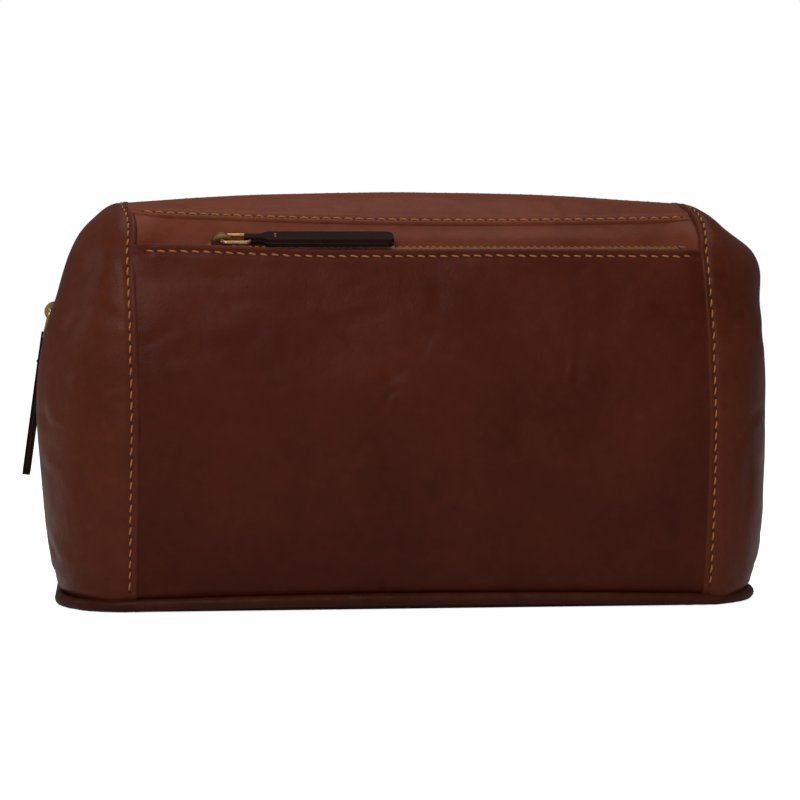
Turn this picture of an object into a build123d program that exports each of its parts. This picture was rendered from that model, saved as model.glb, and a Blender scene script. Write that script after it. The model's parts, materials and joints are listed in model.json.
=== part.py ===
"""A leather shaving kit bag (wash bag), 270 mm wide.

The frame: origin on the ground under the middle of the base, +X to the wearer's right along the front,
-Y towards the front with the zipped pocket, +Z up. All sizes are in millimetres.

The bag stands on a stiffened base ringed with piping. Its front and back walls lean out about their seams
with the base. A zip runs up the left end, over the top and down the right end. A second closes the pocket.
"""

import math
import os

from build123d import *

os.makedirs("parts", exist_ok=True)

# ---- leather and lining
LEATHER = 1.8
LINING = 0.8
GAP = 0.2  # clearance left at a sewn joint
SEAM_X = 103.5  # half the distance between the vertical seams
WALL_FOOT = 4.2  # height where the walls meet the piping
EAVES = 144.5  # height where the walls meet the top strips
FOLD = 130.0  # below this height the ends of the bag stay with the base
LINING_TOP = 143.0
LINING_IN_X = 2.2  # the lining hangs this far inside the ends
LINING_IN_Y = 10.5  # and this far inside the front and back

# Outline of the bag at each height: height, half width, half depth, corner radius
OUTLINES = [
    (WALL_FOOT, 129.0, 56.0, 30.0),
    (30.0, 133.5, 60.0, 34.0),
    (65.0, 135.0, 60.8, 36.0),
    (100.0, 132.4, 56.0, 35.0),
    (128.0, 126.6, 45.8, 30.0),
    (EAVES, 117.0, 31.0, 22.0),
]
RIDGE_OUTLINE = (147.5, 105.0, 7.0, 6.5)  # where the ends of the bag close against the zip

WIDE = 200.0  # well past the bag on every side

# ---- base
BASE_HALF = (126.8, 53.8)
BASE_CORNER = 27.8
BOARD_THICK = 2.0
BOARD_MARGIN = 3.0
PIPING_R = 1.9
CORD_R = 1.2
PIPING_HALF = (129.0, 56.0)
PIPING_CORNER = 30.0

# ---- zips
PITCH = 2.5
TOOTH_THICK = 1.15
TOOTH_HIGH = 2.2
TOOTH_ROOT = 2.9  # from the middle of the chain to the back of a tooth
TOOTH_REACH = 0.9  # how far a tooth's head passes the middle of the chain
TAPE_THICK = 0.6
TAPE_IN = 2.95
TAPE_OUT = 5.8
SLIT = 6.0  # half width of the slit in the leather
TOP_HALF = 102.0  # half length of the nearly level run over the top
TOP_END_Z = 147.4
TOP_RISE = 4.0
SHOULDER_R = 24.0
RUN_LEAN = 13.0  # degrees the end runs lean from vertical
RUN_FOOT = 96.0  # height of the zip's two ends

# ---- sliders, rings and pulls, in a slider's own frame: x along the zip, y across, z outwards
PLATE = (10.0, 8.6, 1.0)
PLATE_GAP = 1.35  # from the tape's middle to a plate
FLANGE_IN = 3.3
FLANGE_LIFT = 0.5
POST = (2.0, 1.6)
ARCH_LONG = 7.6
ARCH_TOP = 6.9
ARCH_WIDE = 2.4
EYE_Z = 4.6  # height of the ring's axis
EYE_R = 0.88
WIRE_R = 0.8
RING_LONG = 10.2  # between the axes of the ring's two bars
RING_WIDE = 9.2  # between the axes of its two sides
RING_CORNER = 1.9
PULL_LONG = 52.5
PULL_WIDE = 10.5
PULL_THICK = 2.8
PULL_NECK = 5.0
PULL_NECK_LONG = 4.2
PULL_EYE_R = 0.88

MAIN_SLIDER_Z = 107.0
MAIN_PULL_TILT = 5.0  # degrees the hanging pull turns in from the line of the zip
POCKET_SLIDER_X = -70.0
POCKET_ZIP_Y = -45.0
POCKET_ZIP_Z = 130.5
POCKET_TILT = 17.0
POCKET_CHAIN = (-72.0, 99.0)
POCKET_TAPE = (-96.0, 102.0)
STOP = (2.4, 2.2, 2.2)

# Faces of the front wall as (y, z), from the base up. The pocket is the space between the two walls.
POCKET_FACE = [(-56.0, WALL_FOOT), (-60.0, 30.0), (-60.8, 65.0), (-57.6, 100.0), (-52.6, 129.3)]
FRONT_FACE = [(-51.0, WALL_FOOT), (-55.0, 30.0), (-55.4, 65.0), (-51.0, 100.0), (-43.4, 122.0),
              (-38.3, 131.5), (-30.8, EAVES - GAP)]
POCKET_LINING = 0.5
POCKET_LINING_TOP = (126.0, 112.0)  # in front, behind


def finish(part, name):
    """Labels a finished piece and writes it."""
    part.label = name
    export_step(part, f"parts/{name}.step")


def inset(points, amount):
    """The same open outline moved inwards, to the right of its direction of travel."""
    moved = []
    for i, (y, z) in enumerate(points):
        before = points[max(i - 1, 0)]
        after = points[min(i + 1, len(points) - 1)]
        run_y = after[0] - before[0]
        run_z = after[1] - before[1]
        length = math.hypot(run_y, run_z)
        moved.append((y + run_z / length * amount, z - run_y / length * amount))
    return moved


def rounded_loop(plane, length, width, corner):
    """A closed path with rounded corners, starting in the middle of a long side."""
    with BuildLine(plane) as loop:
        half_x, half_y = length / 2, width / 2
        turn_x, turn_y = half_x - corner, half_y - corner
        Line((0, -half_y), (turn_x, -half_y))
        CenterArc((turn_x, -turn_y), corner, -90, 90)
        if turn_y > 0:
            Line((half_x, -turn_y), (half_x, turn_y))
        CenterArc((turn_x, turn_y), corner, 0, 90)
        Line((turn_x, half_y), (-turn_x, half_y))
        CenterArc((-turn_x, turn_y), corner, 90, 90)
        if turn_y > 0:
            Line((-half_x, turn_y), (-half_x, -turn_y))
        CenterArc((-turn_x, -turn_y), corner, 180, 90)
        Line((-turn_x, -half_y), (0, -half_y))
    return loop.wire()


def form(inset_x, inset_y, outlines=OUTLINES):
    """The solid inside the bag's outline, drawn in by the two insets."""
    with BuildPart() as solid:
        for height, half_x, half_y, corner in outlines:
            with BuildSketch(Plane.XY.offset(height)):
                RectangleRounded(2 * (half_x - inset_x), 2 * (half_y - inset_y),
                                 max(corner - max(inset_x, inset_y), 2.0))
        loft()
    return solid.part


def roof(drop):
    """The hipped solid that closes the wall's outline against the zip, lowered by drop."""
    with BuildPart() as solid:
        for height, half_x, half_y, corner in (OUTLINES[-1], RIDGE_OUTLINE):
            with BuildSketch(Plane.XY.offset(height - drop)):
                RectangleRounded(2 * half_x, 2 * half_y, corner)
        loft(ruled=True)
    return solid.part


def cut_to(solid, low, high):
    """The part of a solid between two corners."""
    middle = tuple((a + b) / 2 for a, b in zip(low, high))
    size = [b - a for a, b in zip(low, high)]
    with BuildPart() as piece:
        add(solid)
        with Locations(middle):
            Box(*size, mode=Mode.INTERSECT)
    return piece.part


def sheet(points, thickness, half_x=SEAM_X - GAP):
    """A curved sheet that keeps its outline from seam to seam. Points give its outer face."""
    inner = inset(points, thickness)
    with BuildPart() as solid:
        with BuildSketch(Plane.YZ.offset(-half_x)):
            with BuildLine():
                Spline(points)
                Line(points[-1], inner[-1])
                Spline(inner[::-1])
                Line(inner[0], points[0])
            make_face()
        extrude(amount=2 * half_x)
    return solid.part


# ---- base
with BuildPart() as base_panel:
    with BuildSketch():
        RectangleRounded(2 * BASE_HALF[0], 2 * BASE_HALF[1], BASE_CORNER)
    extrude(amount=LEATHER)
finish(base_panel.part, "base_panel")

with BuildPart() as base_board:
    with BuildSketch(Plane.XY.offset(LEATHER + GAP)):
        RectangleRounded(2 * (BASE_HALF[0] - BOARD_MARGIN), 2 * (BASE_HALF[1] - BOARD_MARGIN),
                         BASE_CORNER - BOARD_MARGIN)
    extrude(amount=BOARD_THICK)
finish(base_board.part, "base_board")

with BuildPart() as base_lining:
    with BuildSketch(Plane.XY.offset(LEATHER + BOARD_THICK + 2 * GAP)):
        RectangleRounded(2 * (BASE_HALF[0] - BOARD_MARGIN), 2 * (BASE_HALF[1] - 3 * BOARD_MARGIN),
                         BASE_CORNER - 3 * BOARD_MARGIN)
    extrude(amount=LINING)
finish(base_lining.part, "base_lining")


def piping(radius, hollow):
    """A round bead round the edge of the base."""
    level = Plane.XY.offset(PIPING_R + GAP)
    path = rounded_loop(level, 2 * PIPING_HALF[0], 2 * PIPING_HALF[1], PIPING_CORNER)
    with BuildPart() as bead:
        with BuildSketch(Plane(origin=path @ 0, z_dir=path % 0)):
            Circle(radius)
            if hollow:
                Circle(hollow, mode=Mode.SUBTRACT)
        sweep(path=path)
    return bead.part


finish(piping(PIPING_R, CORD_R + 0.05), "piping_cover")
finish(piping(CORD_R, 0), "piping_cord")

# ---- leather walls and ends
wall_outer = form(0, 0)
wall_inner = form(LEATHER, LEATHER)
with BuildPart() as leather_shell:
    add(wall_outer)
    add(wall_inner, mode=Mode.SUBTRACT)
with BuildPart() as leather_roof:
    add(roof(0))
    add(roof(LEATHER), mode=Mode.SUBTRACT)
with BuildPart() as slit:
    with Locations((0, 0, RUN_FOOT + 50)):
        Box(400, 2 * SLIT, 100)

for side, sign in (("left", -1), ("right", 1)):
    near, far = sorted((sign * SEAM_X, sign * WIDE))
    low_end = cut_to(leather_shell.part, (near, -WIDE, 0), (far, WIDE, FOLD))
    with BuildPart() as end_panel:
        add(low_end)
        add(slit.part, mode=Mode.SUBTRACT)
    finish(end_panel.part, f"{side}_end_panel")
    for row, (y_low, y_high) in (("front", (-WIDE, -SLIT)), ("back", (SLIT, WIDE))):
        with BuildPart() as wing:
            add(cut_to(leather_shell.part, (near, y_low, FOLD + GAP), (far, y_high, EAVES)))
            add(cut_to(leather_roof.part, (near, y_low, EAVES), (far, y_high, WIDE)))
        finish(wing.part, f"{row}_{side}_wing")

finish(sheet(POCKET_FACE, LEATHER), "pocket_panel")
finish(sheet(FRONT_FACE, LEATHER), "front_panel")
finish(cut_to(leather_shell.part, (-SEAM_X + GAP, 0, 0), (SEAM_X - GAP, WIDE, EAVES - GAP)), "back_panel")

# The pocket's lining is a flat bag: a sheet behind the pocket panel, one before the front panel, a floor.
with BuildPart() as pocket_lining:
    lining_half = SEAM_X - 4 * GAP
    lining_front = inset(POCKET_FACE, LEATHER + GAP)
    lining_back = inset(FRONT_FACE, -2 * GAP - POCKET_LINING)
    for face, top in ((lining_front, POCKET_LINING_TOP[0]), (lining_back, POCKET_LINING_TOP[1])):
        add(cut_to(sheet(face, POCKET_LINING, lining_half), (-WIDE, -WIDE, WALL_FOOT), (WIDE, WIDE, top)))
    floor_low = lining_front[0][0]
    floor_high = lining_back[0][0] + POCKET_LINING
    with Locations((0, (floor_low + floor_high) / 2, WALL_FOOT + GAP + POCKET_LINING / 2)):
        Box(2 * lining_half, floor_high - floor_low, POCKET_LINING)
finish(pocket_lining.part, "pocket_lining")


def top_strip(sign):
    """The leather strip between the zip and the top of a wall. It rises to the middle of the bag."""
    with BuildPart() as strip:
        for x in (-1, 0, 1):
            lift = TOP_RISE * (1 - x * x)
            edge = TOP_END_Z + lift + 0.4
            with BuildSketch(Plane.YZ.offset(x * (SEAM_X - GAP))):
                with BuildLine():
                    Polyline(
                        (sign * SLIT, edge), (sign * 2 * SLIT, edge - 0.1), (sign * 30.6, EAVES + GAP + 1.2),
                        (sign * 30.6, EAVES + GAP), (sign * 28.0, EAVES + GAP),
                        (sign * 2 * SLIT, edge - LEATHER - 0.1), (sign * SLIT, edge - LEATHER), close=True,
                    )
                make_face()
        loft(ruled=False)
    return strip.part


finish(top_strip(-1), "front_top_strip")
finish(top_strip(1), "back_top_strip")

# ---- lining
with BuildPart() as lining_shell:
    add(form(LINING_IN_X, LINING_IN_Y))
    add(form(LINING_IN_X + LINING, LINING_IN_Y + LINING), mode=Mode.SUBTRACT)
LINING_FOOT = LEATHER + BOARD_THICK + LINING + 4 * GAP
for row, (y_low, y_high) in (("front", (-WIDE, -SLIT)), ("back", (SLIT, WIDE))):
    reach = SEAM_X - GAP
    with BuildPart() as lining:
        add(cut_to(lining_shell.part, (-reach, y_low, LINING_FOOT), (reach, y_high, LINING_TOP)))
        add(cut_to(lining_shell.part, (-WIDE, y_low, FOLD + GAP), (WIDE, y_high, LINING_TOP)))
    finish(lining.part, f"{row}_lining")
for side, sign in (("left", -1), ("right", 1)):
    near, far = sorted((sign * SEAM_X, sign * WIDE))
    with BuildPart() as lining:
        add(cut_to(lining_shell.part, (near, -WIDE, LINING_FOOT), (far, WIDE, FOLD)))
        add(slit.part, mode=Mode.SUBTRACT)
    finish(lining.part, f"{side}_end_lining")

# ---- the main zip's line, in the plane y = 0, from the foot of the left end over the top to the right
top_radius = (TOP_HALF**2 + TOP_RISE**2) / (2 * TOP_RISE)
top_slope = math.degrees(math.asin(TOP_HALF / top_radius))
turn = 90 - RUN_LEAN - top_slope
slope_start = math.radians(90 - RUN_LEAN)
slope_end = math.radians(top_slope)
run_top = (
    TOP_HALF + SHOULDER_R * (math.sin(slope_start) - math.sin(slope_end)),
    TOP_END_Z - SHOULDER_R * (math.cos(slope_end) - math.cos(slope_start)),
)
run_foot = (run_top[0] + (run_top[1] - RUN_FOOT) * math.tan(math.radians(RUN_LEAN)), RUN_FOOT)
shoulder_mid_slope = (slope_start + slope_end) / 2
shoulder_mid = (
    TOP_HALF + SHOULDER_R * (math.sin(shoulder_mid_slope) - math.sin(slope_end)),
    TOP_END_Z - SHOULDER_R * (math.cos(slope_end) - math.cos(shoulder_mid_slope)),
)
with BuildLine() as zip_flat:
    Line((-run_foot[0], run_foot[1]), (-run_top[0], run_top[1]))
    ThreePointArc((-run_top[0], run_top[1]), (-shoulder_mid[0], shoulder_mid[1]), (-TOP_HALF, TOP_END_Z))
    ThreePointArc((-TOP_HALF, TOP_END_Z), (0, TOP_END_Z + TOP_RISE), (TOP_HALF, TOP_END_Z))
    ThreePointArc((TOP_HALF, TOP_END_Z), shoulder_mid, run_top)
    Line(run_top, run_foot)
zip_wire = Plane.XZ.location * zip_flat.wire()
zip_length = zip_wire.length


def zip_point(distance):
    """Place and direction on the main zip's line, a distance from its left foot."""
    here = zip_wire.position_at(distance, position_mode=PositionMode.LENGTH)
    ahead = zip_wire.tangent_at(distance, position_mode=PositionMode.LENGTH)
    return here, ahead


def tape(sign):
    """One tape of the main zip, whole."""
    with BuildPart() as ribbon:
        with BuildSketch(Plane.XZ.offset(-sign * TAPE_IN)):
            with BuildLine() as middle:
                add(zip_flat.line)
            trace(middle.edges(), line_width=TAPE_THICK)
        extrude(amount=-sign * (TAPE_OUT - TAPE_IN))
    return ribbon.part


with BuildPart() as tooth:
    with BuildSketch():
        with BuildLine():
            Polyline(
                (-TOOTH_THICK / 2, -TOOTH_ROOT), (TOOTH_THICK / 2, -TOOTH_ROOT), (TOOTH_THICK / 2, 0.5),
                (TOOTH_THICK / 4, TOOTH_REACH), (-TOOTH_THICK / 4, TOOTH_REACH), (-TOOTH_THICK / 2, 0.5),
                close=True,
            )
        make_face()
    extrude(amount=TOOTH_HIGH / 2, both=True)
with BuildPart() as stop:
    Box(*STOP)


def copies(shape, planes, name):
    """A group of separate solids, one at each plane."""
    solids = [plane.location * shape for plane in planes]
    finish(Compound(children=[Solid(s.solid().wrapped) for s in solids]), name)


def tooth_planes(sign, keep):
    """Where the teeth of one row stand: x along the zip and y towards the chain's middle."""
    planes = []
    count = int((zip_length - PITCH) // PITCH)
    for i in range(count):
        distance = (i + (0.5 if sign < 0 else 1.0)) * PITCH
        here, ahead = zip_point(distance)
        if keep(here):
            outward = ahead.cross(Vector(0, -sign, 0))
            planes.append(Plane(origin=here, x_dir=ahead, z_dir=outward))
    return planes


chain_foot = MAIN_SLIDER_Z - 2.0
slider_lean = math.radians(RUN_LEAN)
for sign, row in ((-1, "front"), (1, "back")):
    whole = tape(sign)
    finish(cut_to(whole, (-WIDE, -WIDE, FOLD + GAP), (WIDE, WIDE, WIDE)), f"main_tape_{row}")
    copies(tooth.part, tooth_planes(sign, lambda p: p.Z > FOLD + TOOTH_THICK), f"main_teeth_{row}")
for side, way in (("left", -1), ("right", 1)):
    strips = []
    planes = []
    for sign in (-1, 1):
        near, far = sorted((0, way * WIDE))
        strips.append(cut_to(tape(sign), (near, -WIDE, RUN_FOOT), (far, WIDE, FOLD)).solid())
        planes += tooth_planes(sign, lambda p: p.X * way > 0 and chain_foot < p.Z < FOLD - TOOTH_THICK)
    finish(Compound(children=[Solid(s.wrapped) for s in strips]), f"{side}_zip_end_tape")
    copies(tooth.part, planes, f"{side}_zip_end_teeth")

stop_planes = []
for way in (-1, 1):
    for sign in (-1, 1):
        x = way * (run_foot[0] - 2.0 * math.tan(slider_lean))
        along = Vector(-way * math.sin(slider_lean), 0, math.cos(slider_lean))
        stop_planes.append(Plane(origin=(x, sign * 1.6, RUN_FOOT + 2.0), x_dir=along, z_dir=(0, 1, 0)))
copies(stop.part, stop_planes, "main_zip_stops")

# ---- the pocket's zip, straight along X
tilt = math.radians(POCKET_TILT)
pocket_out = Vector(0, -math.sin(tilt), math.cos(tilt))
pocket_plane = Plane(origin=(0, POCKET_ZIP_Y, POCKET_ZIP_Z), x_dir=(1, 0, 0), z_dir=pocket_out)
tape_mid = (POCKET_TAPE[0] + POCKET_TAPE[1]) / 2
for row, sign in (("lower", -1), ("upper", 1)):
    with BuildPart() as ribbon:
        with BuildSketch(pocket_plane):
            with Locations((tape_mid, sign * (TAPE_IN + TAPE_OUT) / 2)):
                Rectangle(POCKET_TAPE[1] - POCKET_TAPE[0], TAPE_OUT - TAPE_IN)
        extrude(amount=TAPE_THICK / 2, both=True)
    finish(ribbon.part, f"pocket_tape_{row}")
    planes = []
    for i in range(int((POCKET_CHAIN[1] - POCKET_CHAIN[0]) // PITCH)):
        along = POCKET_CHAIN[0] + (i + (0.5 if sign < 0 else 1.0)) * PITCH
        here = pocket_plane.from_local_coords(Vector(along, 0, 0))
        planes.append(Plane(origin=here, x_dir=(-sign, 0, 0), z_dir=pocket_out))
    copies(tooth.part, planes, f"pocket_teeth_{row}")
stop_planes = []
for along in (POCKET_CHAIN[0] - 10.0, POCKET_CHAIN[1] + 1.6):
    for sign in (-1, 1):
        here = pocket_plane.from_local_coords(Vector(along, sign * 1.6, 0))
        stop_planes.append(Plane(origin=here, x_dir=(1, 0, 0), z_dir=pocket_out))
copies(stop.part, stop_planes, "pocket_zip_stops")

# ---- slider, ring and pull. The closed chain leaves at +x; the post at -x parts the rows.
with BuildPart() as slider:
    with BuildSketch():
        with BuildLine():
            long, wide = PLATE[0] / 2, PLATE[1] / 2
            Polyline((long, -wide * 0.86), (long, wide * 0.86), (0, wide), (-long * 0.6, wide),
                     (-long, wide * 0.55), (-long, -wide * 0.55), (-long * 0.6, -wide), (0, -wide),
                     close=True)
        make_face()
    extrude(amount=PLATE_GAP + PLATE[2], both=True)
    vertical = slider.edges().filter_by(Axis.Z)
    fillet(vertical, 0.6)
    with Locations((-1.4, 0, 0)):
        Box(PLATE[0] + 6, 2 * FLANGE_IN, 2 * PLATE_GAP, mode=Mode.SUBTRACT)
    Box(PLATE[0] + 2, PLATE[1] + 2, 2 * FLANGE_LIFT, mode=Mode.SUBTRACT)
    with Locations((-long + POST[0] / 2 + 0.4, 0, 0)):
        Box(POST[0], POST[1], 2 * PLATE_GAP)
    with BuildSketch(Plane.XZ.offset(-ARCH_WIDE / 2)):
        with BuildLine():
            foot = PLATE_GAP + PLATE[2] - 0.1
            Line((-ARCH_LONG / 2, foot), (ARCH_LONG / 2, foot))
            Spline((ARCH_LONG / 2, foot), (1.9, ARCH_TOP - 0.55), (0, ARCH_TOP), (-1.9, ARCH_TOP - 0.55),
                   (-ARCH_LONG / 2, foot))
        make_face()
    extrude(amount=ARCH_WIDE)
    with BuildSketch(Plane.XZ.offset(-ARCH_WIDE)):
        with Locations((0, EYE_Z)):
            Circle(EYE_R)
    extrude(amount=2 * ARCH_WIDE, mode=Mode.SUBTRACT)

# The ring stands in the plane z = EYE_Z with one bar through the slider's eye and the other at -RING_LONG.
ring_path = rounded_loop(Plane((-RING_LONG / 2, 0, EYE_Z)), RING_LONG, RING_WIDE, RING_CORNER)
with BuildPart() as ring:
    with BuildSketch(Plane(origin=ring_path @ 0, z_dir=ring_path % 0)):
        Circle(WIRE_R)
    sweep(path=ring_path)

# The pull is a strip folded round the ring's far bar: a narrow neck with an eye, then the full width.
with BuildPart() as pull:
    with BuildSketch(Plane.XY.offset(EYE_Z - PULL_THICK / 2)):
        with BuildLine():
            head = -RING_LONG + 1.9
            neck = -RING_LONG - PULL_NECK_LONG
            tip = -RING_LONG - PULL_LONG
            half = PULL_WIDE / 2
            narrow = PULL_NECK / 2
            Polyline((head, -narrow), (head, narrow), (neck, narrow), (neck - 2.5, half),
                     (tip, half), (tip, -half), (neck - 2.5, -half), (neck, -narrow), close=True)
        make_face()
    extrude(amount=PULL_THICK)
    fillet(pull.edges().filter_by(Axis.Z).group_by(Axis.X)[0], 3.0)
    with BuildSketch(Plane.XZ.offset(-PULL_WIDE)):
        with Locations((-RING_LONG, EYE_Z)):
            Circle(PULL_EYE_R)
    extrude(amount=2 * PULL_WIDE, mode=Mode.SUBTRACT)

slider_height = MAIN_SLIDER_Z - RUN_FOOT
main_place = Plane(
    origin=(-run_foot[0] + slider_height * math.tan(slider_lean), 0, MAIN_SLIDER_Z),
    x_dir=(math.sin(slider_lean), 0, math.cos(slider_lean)),
    z_dir=(-math.cos(slider_lean), 0, math.sin(slider_lean)),
)
pocket_place = Plane(
    origin=pocket_plane.from_local_coords(Vector(POCKET_SLIDER_X, 0, 0)),
    x_dir=(1, 0, 0),
    z_dir=pocket_out,
)
bar = Plane((-RING_LONG, 0, EYE_Z)).location
hang = bar * Rotation(0, -MAIN_PULL_TILT, 0) * bar.inverse()
finish(main_place.location * slider.part, "main_slider")
finish(main_place.location * ring.part, "main_ring")
finish(main_place.location * (hang * pull.part), "main_puller")
turned = Rotation(0, 0, 180)
finish(pocket_place.location * slider.part, "pocket_slider")
finish(pocket_place.location * (turned * ring.part), "pocket_ring")
finish(pocket_place.location * (turned * pull.part), "pocket_puller")
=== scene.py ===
"""The looks of the leather shaving kit bag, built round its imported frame. Lengths are in millimetres."""

import json
import math
import random

import bpy
import numpy as np
from mathutils import Matrix, Vector, noise


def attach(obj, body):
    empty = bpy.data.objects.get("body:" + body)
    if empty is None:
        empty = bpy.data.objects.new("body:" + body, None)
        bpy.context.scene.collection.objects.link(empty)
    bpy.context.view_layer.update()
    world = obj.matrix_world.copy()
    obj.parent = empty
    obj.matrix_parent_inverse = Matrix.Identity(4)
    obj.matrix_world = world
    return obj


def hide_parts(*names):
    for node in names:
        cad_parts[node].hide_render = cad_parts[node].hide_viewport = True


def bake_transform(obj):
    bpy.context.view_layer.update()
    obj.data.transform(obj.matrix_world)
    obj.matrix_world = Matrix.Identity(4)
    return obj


MM = 0.001
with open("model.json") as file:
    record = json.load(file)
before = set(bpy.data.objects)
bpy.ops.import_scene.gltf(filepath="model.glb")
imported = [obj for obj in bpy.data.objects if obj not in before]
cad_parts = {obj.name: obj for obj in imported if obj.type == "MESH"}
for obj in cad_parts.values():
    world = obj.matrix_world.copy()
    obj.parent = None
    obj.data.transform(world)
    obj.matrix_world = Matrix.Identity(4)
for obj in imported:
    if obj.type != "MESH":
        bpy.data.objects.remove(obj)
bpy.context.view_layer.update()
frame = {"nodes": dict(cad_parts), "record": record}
rng = random.Random(7)

# ---- the shape
SEAM_X = 103.5  # half the distance between the vertical seams
SLIT = 5.4  # half width of the slit for the zip
FOOT = 3.2  # height where the leather meets the piping
SLIT_FOOT = 97.2  # height of the foot of that slit
RIM = 148.7  # height of the leather beside the zip, at the vertical seams
SHOULDER = (100.1, 123.5)  # middle of the left shoulder's curve, as (x, z)
LEATHER = 1.8
CLOTH = 0.7
PITCH = 4.1  # from one stitch to the next
STITCH_IN = 2.8  # from a folded edge to its row of stitches
WALL_HALF = 105.4  # the walls run a little under the ends
ARCH = 1.6  # how far the middle of the base's long edges lifts
LEAN = math.radians(13)


def path(points, count=600):
    """A smooth curve through points, as a function of the share of its length."""
    p = np.array(points, float)
    d = np.gradient(p, axis=0)
    k = np.linspace(0, len(p) - 1, count)
    i = np.minimum(k.astype(int), len(p) - 2)
    t = (k - i)[:, None]
    a, b = p[i], p[i + 1]
    step = np.linalg.norm(np.diff(p, axis=0), axis=1)
    speed = np.linalg.norm(d, axis=1)
    unit = d / speed[:, None]
    m0, m1 = unit[i] * step[i][:, None], unit[i + 1] * step[i][:, None]
    dense = (2 * t**3 - 3 * t**2 + 1) * a + (t**3 - 2 * t**2 + t) * m0
    dense = dense + (3 * t**2 - 2 * t**3) * b + (t**3 - t**2) * m1
    length = np.concatenate([[0], np.cumsum(np.linalg.norm(np.diff(dense, axis=0), axis=1))])

    def at(share):
        share = np.asarray(share, float)
        sides = [np.interp(share * length[-1], length, dense[:, j]) for j in range(dense.shape[1])]
        return np.stack(sides, -1)

    at.length = length[-1]
    return at


def ramp(value, low, high):
    t = np.clip((np.asarray(value, float) - low) / (high - low), 0, 1)
    return t * t * (3 - 2 * t)


def shoulder(angle, radius=25.2):
    a = math.radians(angle)
    return (SHOULDER[0] + radius * math.cos(a), SHOULDER[1] + radius * math.sin(a))


# The edge of the front at the vertical seams, as (y, z), and the middle of an end, as (x, z)
seam_line = path([(-56.2, FOOT), (-59.0, 17), (-60.6, 40), (-60.6, 70), (-57.6, 100), (-53.0, 120),
                  (-48.8, 130), (-42.4, 137.8), (-35.4, 142.8), (-28, 145.8), (-19, 147.7), (-SLIT, RIM)])
END_LINES = {
    "left": path([(130.2, FOOT), (133.6, 20), (135.4, 45), (135.6, 70), (132.6, 96), (128.7, 112.4),
                  shoulder(13), shoulder(32), shoulder(52), shoulder(70), (SEAM_X, RIM)]),
    "right": path([(130.6, FOOT), (134.8, 20), (137.0, 45), (137.4, 70), (136.0, 95), (133.4, 112),
                   (129.6, 124.5), (124.4, 132.2), (117.6, 138.4), (110.4, 144.2), (SEAM_X, RIM)]),
}
pocket_line = path([(-56.4, FOOT), (-59.6, 17), (-61.4, 40), (-61.6, 70), (-58.6, 100), (-55.8, 116),
                    (-52.6, 131.5)])
front_line = path([(-54.2, FOOT), (-56, 30), (-55.6, 65), (-51.5, 100), (-46.0, 120), (-42.2, 129),
                   (-39.6, 134), (-36.6, 139), (-33.6, 143), (-31.8, 145)])


def ridge(x):
    """Height of the top of the leather beside the zip."""
    return RIM + 4.0 * (1 - (x / SEAM_X) ** 2)


def lift(x, z):
    """The long edges of the base arch up a little between the corners."""
    return ARCH * np.clip(1 - (x / 112) ** 2, 0, 1) * (1 - ramp(z, 0, 60))


def sag(grid):
    """The top edge of the front dips between the seams."""
    x, y, z = grid[..., 0], grid[..., 1], grid[..., 2]
    dip = 2.4 * np.clip(1 - (x / 104) ** 2, 0, 1) + 1.0 * np.clip(x / 104, -1, 1)
    grid[..., 2] = z - dip * ramp(z, 134, 142) * ramp(-y, 18, 31)
    return grid


def sway(grid):
    """The front of the bag is pushed a little to the right between its foot and its top."""
    x, y, z = grid[..., 0], grid[..., 1], grid[..., 2]
    along = np.interp(z, [0, 30, 70, 105, 130, 145, 153], [2.6, 3.2, 4.0, 3.4, 2.4, 4.0, 4.6])
    grid[..., 0] = x + along * ramp(-y, 18, 46) * (1 - ramp(np.abs(x), 98, 136))
    return grid


def grain(points, scale, seed):
    """Smooth noise at each point, from -1 to 1."""
    return np.array([noise.noise(Vector((p[0] * scale + seed, p[1] * scale, p[2] * scale))) for p in points])


def crease(points, start, end, width, depth):
    """A fold along a line: a valley with a lower ridge beside it."""
    a, b = np.array(start, float), np.array(end, float)
    run = b - a
    t = np.clip(((points - a) @ run) / (run @ run), -0.25, 1.25)
    away = points - (a + t[:, None] * run)
    d = np.linalg.norm(away, axis=1)
    up = away[:, 2]
    ends = 1 - ramp(np.abs(t - 0.5), 0.3, 0.75)
    valley = np.exp(-((d / width) ** 2))
    bank = np.exp(-(((d - 1.9 * width) / (1.3 * width)) ** 2)) * np.where(up > 0, 1.0, 0.5)
    return depth * ends * (0.5 * bank - valley)


def hollow(points, centre, radii, depth):
    """A shallow dent, or a swelling if the depth is negative."""
    d = (points - np.array(centre, float)) / np.array(radii, float)
    return -depth * np.exp(-(d * d).sum(1))


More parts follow.
